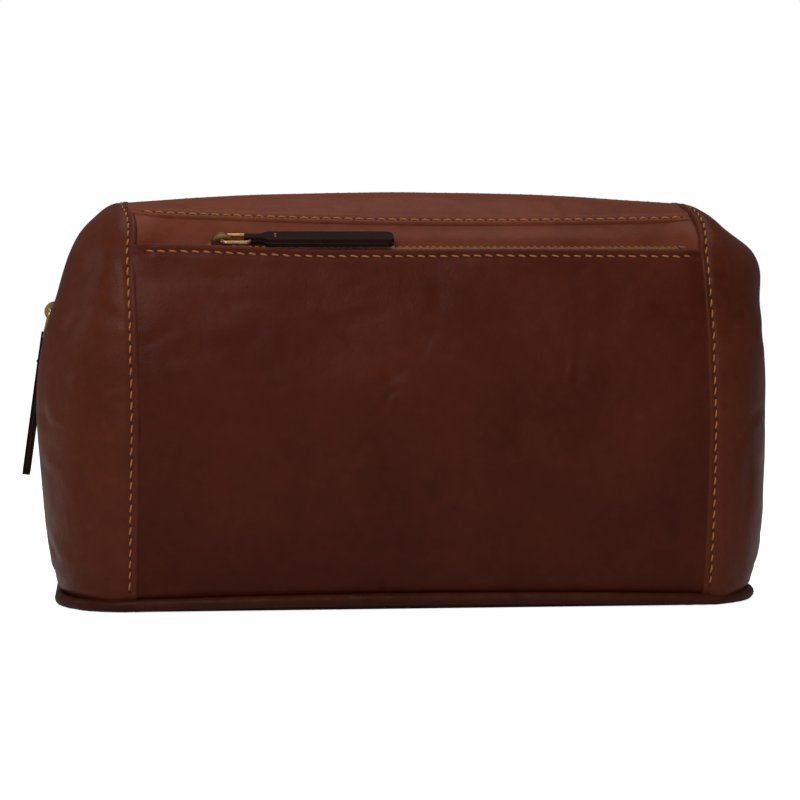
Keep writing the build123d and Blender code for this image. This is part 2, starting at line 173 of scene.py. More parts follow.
def soften(points, place):
    """How far the leather stands off its plain shape at each point."""
    off = 0.75 * grain(points, 0.028, 3.1) + 0.28 * grain(points, 0.075, 11.7)
    off = off + 0.07 * grain(points, 0.25, 5.5)
    x, y, z = points.T
    if place == "left":
        off += crease(points, (-106, -57, 60), (-130, -34, 70), 3.4, 1.9)
        off += crease(points, (-110, -56, 49), (-131, -30, 52), 3.0, 1.2)
        off += crease(points, (-108, -55, 13), (-131, -32, 21), 2.6, 1.3)
        off += crease(points, (-118, -52, 9), (-133, -18, 12), 1.8, 0.8)
        off += crease(points, (-112, 52, 70), (-134, 20, 58), 3.2, 1.2)
        off += hollow(points, (-132, -25, 88), (20, 13, 46), -3.6)
        off += hollow(points, (-132, 25, 88), (20, 13, 46), -2.6)
        off += hollow(points, (-122, -44, 112), (9, 10, 12), 1.0)
    elif place == "right":
        off += hollow(points, (128, -25, 125), (15, 16, 12), -4.2)
        off += hollow(points, (118, -48, 108), (8, 10, 13), 1.8)
        off += crease(points, (106, -57, 92), (131, -34, 99), 3.0, 1.0)
        off += crease(points, (112, -54, 11), (131, -34, 15), 1.6, 0.9)
        off += crease(points, (117, -52, 18), (133, -28, 20), 1.5, 0.7)
        off += crease(points, (108, 55, 64), (134, 22, 76), 3.2, 1.4)
        off += hollow(points, (134, 0, 66), (20, 20, 30), 1.2)
    elif place == "pocket":
        off += crease(points, (-98, -60, 92), (-66, -60, 97), 3.2, 0.3)
        off += crease(points, (30, -61, 70), (92, -61, 78), 4.5, 0.5)
        off += hollow(points, (-6, -60, 62), (62, 30, 34), -1.4)
        off += hollow(points, (70, -60, 24), (34, 30, 15), 0.5)
        off += hollow(points, (-80, -57, 118), (26, 30, 10), 0.5)
    elif place == "back":
        off += crease(points, (-90, 61, 82), (-20, 61, 76), 4.5, 0.7)
        off += hollow(points, (0, 60, 66), (70, 30, 36), -1.6)
    return off * ramp(z, 4, 15) * (0.25 + 0.75 * (1 - ramp(z, 128, 146)))


def gusset(side, row, shares, across, off=0.0):
    """Points on one half of an end of the bag. Shares go up it; across goes from the seam to the slit."""
    sign = -1 if side == "left" else 1
    seam, end = seam_line(shares), END_LINES[side](shares)
    theta = np.linspace(0, math.pi / 2, 181)
    grid = np.zeros((len(shares), len(across), 3))
    for i, s in enumerate(shares):
        power = 2 / (2.55 - 0.45 * float(ramp(s, 0.7, 1.0)))
        wide = max(end[i, 0] - SEAM_X, 0.0)
        deep = max(-seam[i, 0] - SLIT, 0.0)
        curve = np.stack([SEAM_X + wide * np.sin(theta) ** power, -SLIT - deep * np.cos(theta) ** power], -1)
        run = np.concatenate([[0], np.cumsum(np.linalg.norm(np.diff(curve, axis=0), axis=1))])
        share = across / across[-1]
        at = share * run[-1] if across[-1] == 1.0 else np.minimum(across, run[-1])
        share = at / max(run[-1], 1e-9)
        grid[i, :, 0] = np.interp(at, run, curve[:, 0])
        grid[i, :, 1] = np.interp(at, run, curve[:, 1])
        grid[i, :, 2] = seam[i, 1] + (end[i, 1] - seam[i, 1]) * ramp(share, 0, 1)
    grid[:, :, 0] *= sign
    if row == "back":
        grid[:, :, 1] *= -1
    return grid


def panel(line, half, shares, xs, bulge=0.0, seam=None, hold=7.0):
    """Points on a wall between the vertical seams. It keeps the seam's own line at its two sides."""
    base = line(shares)
    grid = np.zeros((len(shares), len(xs), 3))
    side = 1 - ramp(half - np.abs(xs), 0, hold)
    for i in range(len(shares)):
        y, z = base[i]
        edge = y
        if seam is not None:
            dense = seam_line(np.linspace(0, 1, 500))
            edge = np.interp(z, dense[:, 1], dense[:, 0]) + seam
        grid[i, :, 0] = xs
        swell = bulge * math.sin(math.pi * shares[i]) * (1 - (xs / half) ** 2)
        grid[i, :, 1] = y * (1 - side) + edge * side - swell
        grid[i, :, 2] = z
    return grid


def normals(grid):
    """Unit normals of a grid, pointing away from the middle of the bag."""
    du = np.gradient(grid, axis=0)
    dv = np.gradient(grid, axis=1)
    n = np.cross(dv, du)
    size = np.linalg.norm(n, axis=2, keepdims=True)
    n = n / np.maximum(size, 1e-9)
    outward = np.sign((n * (grid - np.array([0, 0, 60.0]))).sum(2, keepdims=True))
    outward[outward == 0] = 1
    return n * (1 if outward.mean() > 0 else -1)


# ---- materials
def leather(name, dark, light, rough=0.46, grain_size=900.0, bump=0.16, painted_low_shade=0.0):
    """Waxed leather: two browns in soft clouds, a fine pebble grain and a few pores."""
    m = bpy.data.materials.new(name)
    m.use_nodes = True
    t = m.node_tree
    n, link = t.nodes, t.links.new
    bsdf = n["Principled BSDF"]
    where = n.new("ShaderNodeTexCoord")
    clouds = n.new("ShaderNodeTexNoise")
    clouds.inputs["Scale"].default_value = 22
    clouds.inputs["Detail"].default_value = 6
    clouds.inputs["Roughness"].default_value = 0.62
    link(where.outputs["Object"], clouds.inputs["Vector"])
    fine = n.new("ShaderNodeTexNoise")
    fine.inputs["Scale"].default_value = 260
    fine.inputs["Detail"].default_value = 4
    link(where.outputs["Object"], fine.inputs["Vector"])
    both = n.new("ShaderNodeMath")
    both.operation = "MULTIPLY_ADD"
    both.inputs[1].default_value = 0.35
    link(fine.outputs["Fac"], both.inputs[0])
    link(clouds.outputs["Fac"], both.inputs[2])
    tint = n.new("ShaderNodeValToRGB")
    tint.color_ramp.elements[0].position = 0.36
    tint.color_ramp.elements[0].color = (*dark, 1)
    tint.color_ramp.elements[1].position = 1.02
    tint.color_ramp.elements[1].color = (*light, 1)
    link(both.outputs[0], tint.inputs["Fac"])
    # painted shade: the lower part of a panel is darkened in its colour, where it turns down away from the
    # light
    parts = n.new("ShaderNodeSeparateXYZ")
    link(where.outputs["Object"], parts.inputs[0])
    low_shade_ramp = n.new("ShaderNodeMapRange")
    low_shade_ramp.inputs["From Min"].default_value = 0.03
    low_shade_ramp.inputs["From Max"].default_value = 0.13
    low_shade_ramp.inputs["To Min"].default_value = 1 - painted_low_shade
    low_shade_ramp.inputs["To Max"].default_value = 1
    link(parts.outputs["Z"], low_shade_ramp.inputs["Value"])
    shade = n.new("ShaderNodeVectorMath")
    shade.operation = "SCALE"
    link(tint.outputs["Color"], shade.inputs[0])
    link(low_shade_ramp.outputs["Result"], shade.inputs["Scale"])
    link(shade.outputs["Vector"], bsdf.inputs["Base Color"])
    shine = n.new("ShaderNodeMapRange")
    shine.inputs["To Min"].default_value = rough - 0.07
    shine.inputs["To Max"].default_value = rough + 0.13
    link(clouds.outputs["Fac"], shine.inputs["Value"])
    link(shine.outputs["Result"], bsdf.inputs["Roughness"])
    pebble = n.new("ShaderNodeTexVoronoi")
    pebble.inputs["Scale"].default_value = grain_size
    link(where.outputs["Object"], pebble.inputs["Vector"])
    relief = n.new("ShaderNodeMath")
    relief.operation = "MULTIPLY_ADD"
    relief.inputs[1].default_value = 0.55
    link(pebble.outputs["Distance"], relief.inputs[0])
    link(fine.outputs["Fac"], relief.inputs[2])
    bumps = n.new("ShaderNodeBump")
    bumps.inputs["Strength"].default_value = bump
    bumps.inputs["Distance"].default_value = 0.0006
    link(relief.outputs[0], bumps.inputs["Height"])
    # soft wrinkles under the grain
    folds = n.new("ShaderNodeTexNoise")
    folds.noise_type = "RIDGED_MULTIFRACTAL"
    folds.inputs["Scale"].default_value = 42
    folds.inputs["Detail"].default_value = 5
    folds.inputs["Distortion"].default_value = 1.1
    link(where.outputs["Object"], folds.inputs["Vector"])
    folded = n.new("ShaderNodeBump")
    folded.invert = True
    folded.inputs["Strength"].default_value = 0.55
    folded.inputs["Distance"].default_value = 0.0022
    link(folds.outputs["Fac"], folded.inputs["Height"])
    link(folded.outputs["Normal"], bumps.inputs["Normal"])
    link(bumps.outputs["Normal"], bsdf.inputs["Normal"])
    bsdf.inputs["Specular IOR Level"].default_value = 0.075
    return m


def plain(name, colour, rough, metal=0.0, scale=400.0, mottle=0.25, bump=0.1, distance=0.0002):
    """A surface of one colour, a little mottled."""
    m = bpy.data.materials.new(name)
    m.use_nodes = True
    t = m.node_tree
    n, link = t.nodes, t.links.new
    bsdf = n["Principled BSDF"]
    where = n.new("ShaderNodeTexCoord")
    spots = n.new("ShaderNodeTexNoise")
    spots.inputs["Scale"].default_value = scale
    spots.inputs["Detail"].default_value = 5
    link(where.outputs["Object"], spots.inputs["Vector"])
    tint = n.new("ShaderNodeValToRGB")
    tint.color_ramp.elements[0].position = 0.3
    tint.color_ramp.elements[0].color = (*[c * (1 - mottle) for c in colour], 1)
    tint.color_ramp.elements[1].position = 0.7
    tint.color_ramp.elements[1].color = (*[min(c * (1 + mottle), 1) for c in colour], 1)
    link(spots.outputs["Fac"], tint.inputs["Fac"])
    link(tint.outputs["Color"], bsdf.inputs["Base Color"])
    bumps = n.new("ShaderNodeBump")
    bumps.inputs["Strength"].default_value = bump
    bumps.inputs["Distance"].default_value = distance
    link(spots.outputs["Fac"], bumps.inputs["Height"])
    link(bumps.outputs["Normal"], bsdf.inputs["Normal"])
    bsdf.inputs["Roughness"].default_value = rough
    bsdf.inputs["Metallic"].default_value = metal
    return m


def weave(name, colour, rough=0.85, scale=2600.0):
    """Woven cloth: two crossing waves."""
    m = plain(name, colour, rough, scale=500, mottle=0.18, bump=0.0)
    t = m.node_tree
    n, link = t.nodes, t.links.new
    where = n.new("ShaderNodeTexCoord")
    total = n.new("ShaderNodeMath")
    total.operation = "ADD"
    for i, axis in enumerate(("X", "Z")):
        wave = n.new("ShaderNodeTexWave")
        wave.bands_direction = axis
        wave.inputs["Scale"].default_value = scale / 6
        link(where.outputs["Object"], wave.inputs["Vector"])
        link(wave.outputs["Fac"], total.inputs[i])
    bumps = n.new("ShaderNodeBump")
    bumps.inputs["Strength"].default_value = 0.5
    bumps.inputs["Distance"].default_value = 0.0002
    link(total.outputs[0], bumps.inputs["Height"])
    link(bumps.outputs["Normal"], n["Principled BSDF"].inputs["Normal"])
    return m


MATERIALS = {
    "leather_gusset": leather("gusset_leather", (0.050, 0.0092, 0.0038), (0.102, 0.0215, 0.0090), 0.38, 820),
    # painted shade: the pocket's leather is a darker copy of the wall leather, darkened further towards its
    # bottom
    "leather_pocket": leather("pocket_leather_painted_shade",
            (0.043, 0.0068, 0.0026), (0.086, 0.0150, 0.0058), 0.40, 820, painted_low_shade=0.26),
    # painted light: the top leather is a lighter copy of the wall leather, for the light falling on the parts
    # that face up
    "leather_top": leather("top_leather_painted_light", (0.082, 0.0165, 0.0068), (0.160, 0.0370, 0.0155), 0.40, 820),
    "leather_piping": leather("piping_leather",
            (0.025, 0.0050, 0.0022), (0.058, 0.0125, 0.0054), 0.43, 900, 0.25),
    "leather_pull": leather("pull_leather",
            (0.008, 0.0030, 0.0018), (0.019, 0.0068, 0.0042), 0.42, 1100, 0.2),
    "cord": plain("cord_cotton", (0.5, 0.47, 0.4), 0.9),
    "board": plain("board_black", (0.03, 0.025, 0.022), 0.8),
    "lining_cloth": weave("lining_weave", (0.105, 0.062, 0.036)),
    "pocket_cloth": weave("pocket_weave", (0.085, 0.056, 0.036)),
    "zip_tape": weave("tape_weave", (0.105, 0.036, 0.017)),
    "zip_teeth": plain("teeth_brass", (0.42, 0.20, 0.065), 0.36, 1.0, 900, 0.3),
    "zip_hardware": plain("antique_brass", (0.36, 0.215, 0.098), 0.33, 1.0, 260, 0.42, 0.12),
}
pull_surface = MATERIALS["leather_pull"].node_tree.nodes["Principled BSDF"]
pull_surface.inputs["Specular IOR Level"].default_value = 0.03
THREAD = plain("thread_tan", (0.30, 0.102, 0.019), 0.62, scale=2500, mottle=0.2, bump=0.4)
HOLE = plain("needle_hole", (0.012, 0.005, 0.003), 0.9)


# ---- making and placing pieces
def build(name, verts, faces, slot, move, replaces=(), material=None, smooth=True):
    """A mesh in the row frame. Move is a body's name, which the mesh is attached to, or (half,), for which
    the mesh is only baked in place.
    """
    mesh = bpy.data.meshes.new(name)
    v = np.asarray(verts, float) * MM
    mesh.from_pydata(v.tolist(), [], [list(map(int, f)) for f in faces])
    mesh.update()
    if smooth:
        mesh.polygons.foreach_set("use_smooth", [True] * len(mesh.polygons))
    o = bpy.data.objects.new(name, mesh)
    bpy.context.scene.collection.objects.link(o)
    mesh.materials.append(material or MATERIALS[slot])
    if isinstance(move, tuple):
        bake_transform(o)
    else:
        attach(o, move)
    if replaces:
        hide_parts(*replaces)
    return o


def grid_faces(rows, cols, start=0, keep=None, flip=False):
    faces = []
    for i in range(rows - 1):
        for j in range(cols - 1):
            if keep is not None and not keep[i, j]:
                continue
            a = start + i * cols + j
            f = [a, a + 1, a + cols + 1, a + cols]
            faces.append(f[::-1] if flip else f)
    return faces


def skin(name, grid, slot, move, thick=LEATHER, replaces=(), keep=None, round_edge=0.45):
    """A sheet of leather or cloth whose outer face is the grid, with a closed edge."""
    rows, cols = grid.shape[:2]
    n = normals(grid)
    flip = np.sign((np.cross(grid[1, 1] - grid[0, 0], grid[0, 1] - grid[1, 0]) * n[0, 0]).sum()) > 0
    faces = grid_faces(rows, cols, keep=keep, flip=bool(flip))
    o = build(name, grid.reshape(-1, 3), faces, slot, move, replaces)
    solid = o.modifiers.new("thickness", "SOLIDIFY")
    solid.thickness = thick * MM
    solid.offset = -1
    solid.use_even_offset = False
    if round_edge:
        bevel = o.modifiers.new("edge", "BEVEL")
        bevel.width = round_edge * MM
        bevel.segments = 3
        bevel.limit_method = "ANGLE"
        bevel.angle_limit = math.radians(50)
    return o


def tube(points, radius, sides=10, closed=False, ripple=None):
    """Vertices and faces of a round tube along points."""
    p = np.asarray(points, float)
    n = len(p)
    if closed:
        tangent = np.roll(p, -1, 0) - np.roll(p, 1, 0)
    else:
        tangent = np.gradient(p, axis=0)
    tangent /= np.linalg.norm(tangent, axis=1, keepdims=True)
    up = np.array([0.0, 0.0, 1.0])
    if abs(tangent[:, 2]).max() > 0.9:
        up = np.array([0.0, 1.0, 0.0])
    a = np.cross(tangent, up)
    a /= np.linalg.norm(a, axis=1, keepdims=True)
    b = np.cross(tangent, a)
    verts, faces = [], []
    for i in range(n):
        r = radius * (1 + (ripple[i] if ripple is not None else 0))
        for k in range(sides):
            w = 2 * math.pi * k / sides
            verts.append(p[i] + r * (math.cos(w) * a[i] + math.sin(w) * b[i]))
    last = n if closed else n - 1
    for i in range(last):
        for k in range(sides):
            q, k2 = (i + 1) % n, (k + 1) % sides
            faces.append([i * sides + k, i * sides + k2, q * sides + k2, q * sides + k])
    if not closed:
        faces.append(list(range(sides))[::-1])
        faces.append([(n - 1) * sides + k for k in range(sides)])
    return verts, faces


def capsule(centre, along, out, length, radius, sides=7, rings=6):
    """A fat thread lying on the leather, its ends dipping into the needle holes."""
    side = np.cross(along, out)
    verts, faces = [], []
    for i in range(rings + 1):
        t = i / rings
        bend = math.sin(math.pi * t)
        r = radius * (0.45 + 0.55 * bend**0.5)
        c = centre + along * (t - 0.5) * length + out * (radius * (1.05 * bend - 0.75))
        for k in range(sides):
            w = 2 * math.pi * k / sides
            verts.append(c + r * (math.cos(w) * side + 0.85 * math.sin(w) * out))
    for i in range(rings):
        for k in range(sides):
            k2 = (k + 1) % sides
            faces.append([i * sides + k, i * sides + k2, (i + 1) * sides + k2, (i + 1) * sides + k])
    return verts, faces


def stitches(name, line, outs, move, pitch=PITCH, long=2.9, radius=0.37, slant=0.16, raise_by=0.18):
    """A row of saddle stitches along a line that lies on the leather, and the holes between them."""
    line, outs = np.asarray(line, float), np.asarray(outs, float)
    run = np.concatenate([[0], np.cumsum(np.linalg.norm(np.diff(line, axis=0), axis=1))])
    count = int(run[-1] // pitch)
    if count < 1:
        return
    gap = (run[-1] - count * pitch) / 2
    tv, tf, hv, hf = [], [], [], []

    def put(store_v, store_f, verts, faces):
        base = len(store_v)
        store_v.extend(verts)
        store_f.extend([[base + k for k in f] for f in faces])

    def spot(d):
        c = np.array([np.interp(d, run, line[:, j]) for j in range(3)])
        o = np.array([np.interp(d, run, outs[:, j]) for j in range(3)])
        ahead = np.array([np.interp(d + 0.4, run, line[:, j]) for j in range(3)])
        a = ahead - np.array([np.interp(d - 0.4, run, line[:, j]) for j in range(3)])
        return c, a / np.linalg.norm(a), o / np.linalg.norm(o)

    for i in range(count):
        c, a, o = spot(gap + (i + 0.5) * pitch)
        side = np.cross(a, o)
        along = a + side * (slant + rng.uniform(-0.05, 0.05))
        along /= np.linalg.norm(along)
        put(tv, tf, *capsule(c + o * raise_by + side * rng.uniform(-0.07, 0.07), along, o,
                             long * rng.uniform(0.94, 1.05), radius * rng.uniform(0.93, 1.06)))
    for i in range(count + 1):
        c, a, o = spot(min(max(gap + i * pitch, 0.01), run[-1] - 0.01))
        put(hv, hf, *capsule(c - o * 0.02, a, o, 1.15, 0.42, 6, 4))
    build(name, tv, tf, None, move, material=THREAD)
    build(name + "_holes", hv, hf, None, move, material=HOLE)


# ---- edges and rows
def fold_edge(d, raise_by=0.0):
    """A folded leather edge at distance d in from it: it rolls over at the end and dips at the stitches."""
    d = np.asarray(d, float)
    roll = np.where(d < 1.1, 1.1 - np.sqrt(np.maximum(1.21 - (1.1 - np.clip(d, 0, 1.1)) ** 2, 0)), 0.0)
    dip = 0.34 * np.exp(-(((d - STITCH_IN) / 0.8) ** 2)) - 0.2 * np.exp(-(((d - 1.4) / 0.7) ** 2))
    dip = dip - 0.16 * np.exp(-(((d - 5.2) / 1.5) ** 2))
    return raise_by * (1 - ramp(d, 6, 18)) - roll - dip


EDGE = [0, 0.12, 0.3, 0.55, 0.85, 1.2, 1.7, 2.2, 2.8, 3.4, 4.1, 5.0, 6.2, 7.6]


def spread(length, step, first=True, last=True):
    """Distances along a length, crowded near the ends that have a folded edge."""
    a = EDGE if first else [0]
    b = EDGE if last else [0]
    middle = np.linspace(a[-1], length - b[-1], max(int((length - a[-1] - b[-1]) / step), 2) + 1)
    return np.concatenate([a[:-1], middle, [length - v for v in b[-2::-1]]])


def flip_y(grid, row):
    if row == "back":
        grid = grid * np.array([1, -1, 1.0])
    return grid


def stand_off(grid, offset, place):
    """Moves a grid along its normals by an offset and by the leather's own unevenness."""
    n = normals(grid)
    flat = grid.reshape(-1, 3)
    soft = soften(flat, place).reshape(grid.shape[:2]) if place else 0.0
    out = grid + n * (offset + soft)[..., None]
    out[..., 2] += lift(out[..., 0], out[..., 2])
    return sway(sag(out) if place == "upper" else out)


def tuck(z):
    return -1.3 * (1 - ramp(z, FOOT, FOOT + 3.6))


ROWS = np.concatenate([np.linspace(0, 0.03, 9)[:-1], np.linspace(0.03, 1, 150)])


def on_each_row(grid, run, count, distances):
    """The point of each row of a grid that is a given distance along the row."""
    rows = np.arange(len(grid))
    pick = np.array([np.interp(d, run[i, :count], np.arange(count)) for i, d in enumerate(distances)])
    low = pick.astype(int)
    part = (pick - low)[:, None]
    return grid[rows, low] * (1 - part) + grid[rows, low + 1] * part


for side in ("left", "right"):
    for row in ("front", "back"):
        half = spread(78.0, 1.6) / 78.0
        base = gusset(side, row, ROWS, half)
        ys = np.array([0.45, 0.9, 1.0])
        extra = np.repeat(base[:, -1:, :], len(ys), axis=1)
        extra[:, :, 1] = base[:, -1:, 1] * (1 - ys[None, :])
        whole = np.concatenate([base, extra], axis=1)
        steps = np.linalg.norm(np.diff(whole, axis=1), axis=2)
        run = np.concatenate([np.zeros((len(ROWS), 1)), np.cumsum(steps, axis=1)], axis=1)
        length = run[:, len(half) - 1:len(half)]
        z = whole[..., 2]
        inside = np.maximum(length - run, 0)
        slit = ramp(z, SLIT_FOOT - 1.5, SLIT_FOOT + 0.5) * (run <= length + 1e-6)
        offset = fold_edge(run, 0.95) * (1 - ramp(z, 146.5, 148.6) * 0.5) + slit * fold_edge(inside) + tuck(z)
        skin_grid = stand_off(whole, offset, side)
        keep = np.ones((len(ROWS), whole.shape[1]), bool)
        keep[:, len(half) - 1:] = (z[:, len(half) - 1:] < SLIT_FOOT)
        stands = [f"{side}_end_panel", f"{row}_{side}_wing"]
        skin(f"{side}_gusset_{row}", skin_grid, "leather_gusset", (row,), replaces=stands, keep=keep)
        inner = whole - normals(whole) * 3.1
        rows_in = inner[:, ::3]
        skin(f"{side}_lining_{row}", rows_in[::3], "lining_cloth", (row,), thick=CLOTH,
             replaces=[f"{side}_end_lining", f"{row}_lining"], round_edge=0, keep=keep[::3, ::3])
        n = normals(skin_grid)
        wide_enough = length[:, 0] > 7
        for edge, distances in (("seam", np.minimum(STITCH_IN, length[:, 0] * 0.4)),
                                ("slit", np.maximum(length[:, 0] - STITCH_IN, 0))):
            line = on_each_row(skin_grid, run, len(half), distances)
            outs = on_each_row(n, run, len(half), distances)
            high_enough = line[:, 2] > 6 if edge == "seam" else z[:, len(half) - 1] > SLIT_FOOT + 1
            use = high_enough & wide_enough
            stitches(f"{side}_{edge}_{row}", line[use], outs[use], (row,))


def wall(name, line, slot, row, place, replaces, lip, seam, hold, bulge=0.0):
    """A wall between the vertical seams. Lip is true where its top is a folded, stitched edge."""
    shares = spread(line.length, 1.6, first=False, last=lip) / line.length
    shares = np.concatenate([np.linspace(0, shares[1], 6)[:-1], shares[1:]])
    xs = np.linspace(-WALL_HALF, WALL_HALF, 141)
    base = panel(line, WALL_HALF, shares, xs, bulge, seam, hold)
    base = flip_y(base, row)
    from_top = (1 - shares) * line.length
    offset = tuck(base[..., 2]) + (fold_edge(from_top)[:, None] if lip else 0.0)
    g = stand_off(base, offset, place)
    if lip:  # the lip climbs a little toward its left end
        g[..., 2] += 2.0 * ramp(shares, 0.6, 1.0)[:, None] * ramp(-xs, 30, 100)
    skin(name, g, slot, (row,), replaces=replaces)
    if lip:
        i = np.interp(STITCH_IN, from_top[::-1], np.arange(len(shares))[::-1])
        low = int(i)
        f = i - low
        line_pts = g[low] * (1 - f) + g[low + 1] * f
        n = normals(g)
        inside = np.abs(xs) < SEAM_X - 1.5
        stitches(name + "_stitch", line_pts[inside], (n[low] * (1 - f) + n[low + 1] * f)[inside], (row,))


wall("pocket_front", pocket_line, "leather_pocket", "front", "pocket", ["pocket_panel"], True,
     seam=-0.3, hold=9, bulge=0.8)
# painted light: the upper front is in the lighter top leather
wall("front_upper", front_line, "leather_top", "front", "upper", ["front_panel"], False, seam=0.9, hold=13)
back_line = path([(-56.2, FOOT), (-59.2, 17), (-60.9, 40), (-61.0, 70), (-57.9, 100), (-53.2, 120),
                  (-48.6, 130), (-41.6, 138), (-34.6, 142.4), (-31.6, 144.4)])
wall("back_wall_leather", back_line, "leather_gusset", "back", "back", ["back_panel"], False,
     seam=0.3, hold=6, bulge=0.6)

# Linings of the two long walls and of the pocket
for row, line, deep in (("front", front_line, 2.7), ("back", back_line, 3.0)):
    shares = np.linspace(0.02, 1, 50)
    xs = np.linspace(-104, 104, 70)
    g = flip_y(panel(line, 104, shares, xs, 0.0, 0.9 if row == "front" else 0.3, 12), row)
    skin(f"{row}_wall_lining", g - normals(g) * deep, "lining_cloth", (row,), thick=CLOTH,
         replaces=[f"{row}_lining"], round_edge=0)
POCKET_HALF = 101.5
for name, line, deep, high in (("pocket_lining_outer", pocket_line, 2.2, 0.95),
                               ("pocket_lining_inner", front_line, -0.9, 0.8)):
    g = panel(line, POCKET_HALF, np.linspace(0.03, high, 40), np.linspace(-POCKET_HALF, POCKET_HALF, 60))
    skin(name, g - normals(g) * deep, "pocket_cloth", ("front",), thick=0.5,
         replaces=["pocket_lining"], round_edge=0)

# Top strips between the zip and the walls, in the top leather with its painted light
strip_line = path([(-34.6, 142.5), (-32.9, 144.4), (-29.9, 146.0), (-25, 147.1), (-18.5, 148.0),
                   (-12, 148.5), (-SLIT, RIM)])
for row in ("front", "back"):
    d = spread(strip_line.length, 1.3)
    yz = strip_line(d / strip_line.length)
    xs = np.linspace(-WALL_HALF, WALL_HALF, 141)
    g = np.zeros((len(d), len(xs), 3))
    g[..., 0] = xs
    g[..., 1] = yz[:, :1]
    rise = (ridge(xs) - RIM)[None, :] * ramp(yz[:, 0], -36, -9)[:, None]
    g[..., 2] = yz[:, 1:] + rise
    g = flip_y(g, row)
    offset = (fold_edge(d) + fold_edge(strip_line.length - d))[:, None]
    g2 = stand_off(g, offset, "upper")
    skin(f"{row}_strip", g2, "leather_top", (row,), replaces=[f"{row}_top_strip"])
    n = normals(g2)
    inside = np.abs(xs) < SEAM_X - 1.5
    for tag, at in (("outer", STITCH_IN), ("zip", strip_line.length - STITCH_IN)):
        i = np.interp(at, d, np.arange(len(d)))
        low, f = int(i), i - int(i)
        stitches(f"{row}_strip_{tag}", (g2[low] * (1 - f) + g2[low + 1] * f)[inside],
                 (n[low] * (1 - f) + n[low + 1] * f)[inside], (row,))

# ---- piping round the base
def base_loop(half_x, half_y, corner, z, count=520):
    """Points round the edge of the base, evenly spaced."""
    pts = []
    far_x, far_y = half_x - corner, half_y - corner
    for cx, cy, a0 in ((far_x, -far_y, -90), (far_x, far_y, 0), (-far_x, far_y, 90), (-far_x, -far_y, 180)):
        for k in range(31):
            a = math.radians(a0 + 3 * k)
            pts.append((cx + corner * math.cos(a), cy + corner * math.sin(a)))
    p = np.array(pts + pts[:1])
    run = np.concatenate([[0], np.cumsum(np.linalg.norm(np.diff(p, axis=0), axis=1))])
    at = np.linspace(0, run[-1], count, endpoint=False)
    out = np.zeros((count, 3))
    out[:, 0] = np.interp(at, run, p[:, 0])
    out[:, 1] = np.interp(at, run, p[:, 1])
    out[:, 2] = z + lift(out[:, 0], np.full(count, float(z))) * (np.abs(out[:, 1]) > half_y - 2)
    return out


loop = base_loop(129.3, 56.4, 30.0, 2.3)
wrinkle = 0.05 * grain(loop, 0.16, 2.0) + 0.035 * grain(loop, 0.6, 9.0)
v, f = tube(loop, 2.25, 14, closed=True, ripple=wrinkle)
build("piping_bead", v, f, "leather_piping", "base", ["piping_cover"])
v, f = tube(loop, 1.1, 8, closed=True)
build("piping_cord_core", v, f, "cord", "base", ["piping_cord"])

# ---- the main zip
ZIP_FOOT = 96.0  # height of the zip's left foot
ZIP_PITCH = 2.5  # from one tooth to the next of its row
left_run = [(-131.1, ZIP_FOOT), (-127.3, 112.4), (-123.48, 128.9)]
for degrees in range(17, 86, 4):
    a = math.radians(degrees)
    left_run.append((-SHOULDER[0] - 24 * math.cos(a), SHOULDER[1] + 24 * math.sin(a)))
top_run = [(x, 151.4 - x * x / 2605.0) for x in range(-100, 101, 10)]
right_run = [(109.8, 143.0), (116.8, 137.4), (123.4, 131.4), (128.4, 124.1), (132.2, 111.7), (134.8, 95.6)]
zip_path = path(left_run + top_run + right_run, 6000)


def zip_frame(distance):
    """Place, direction along and direction outwards on the main zip's line."""
    share = distance / zip_path.length
    p = zip_path(share)
    q = zip_path(np.clip(share + 0.0008, 0, 1)) - zip_path(np.clip(share - 0.0008, 0, 1))
    q = q / np.linalg.norm(q, axis=-1, keepdims=True)
    return p, q, np.stack([-q[..., 1], q[..., 0]], -1)


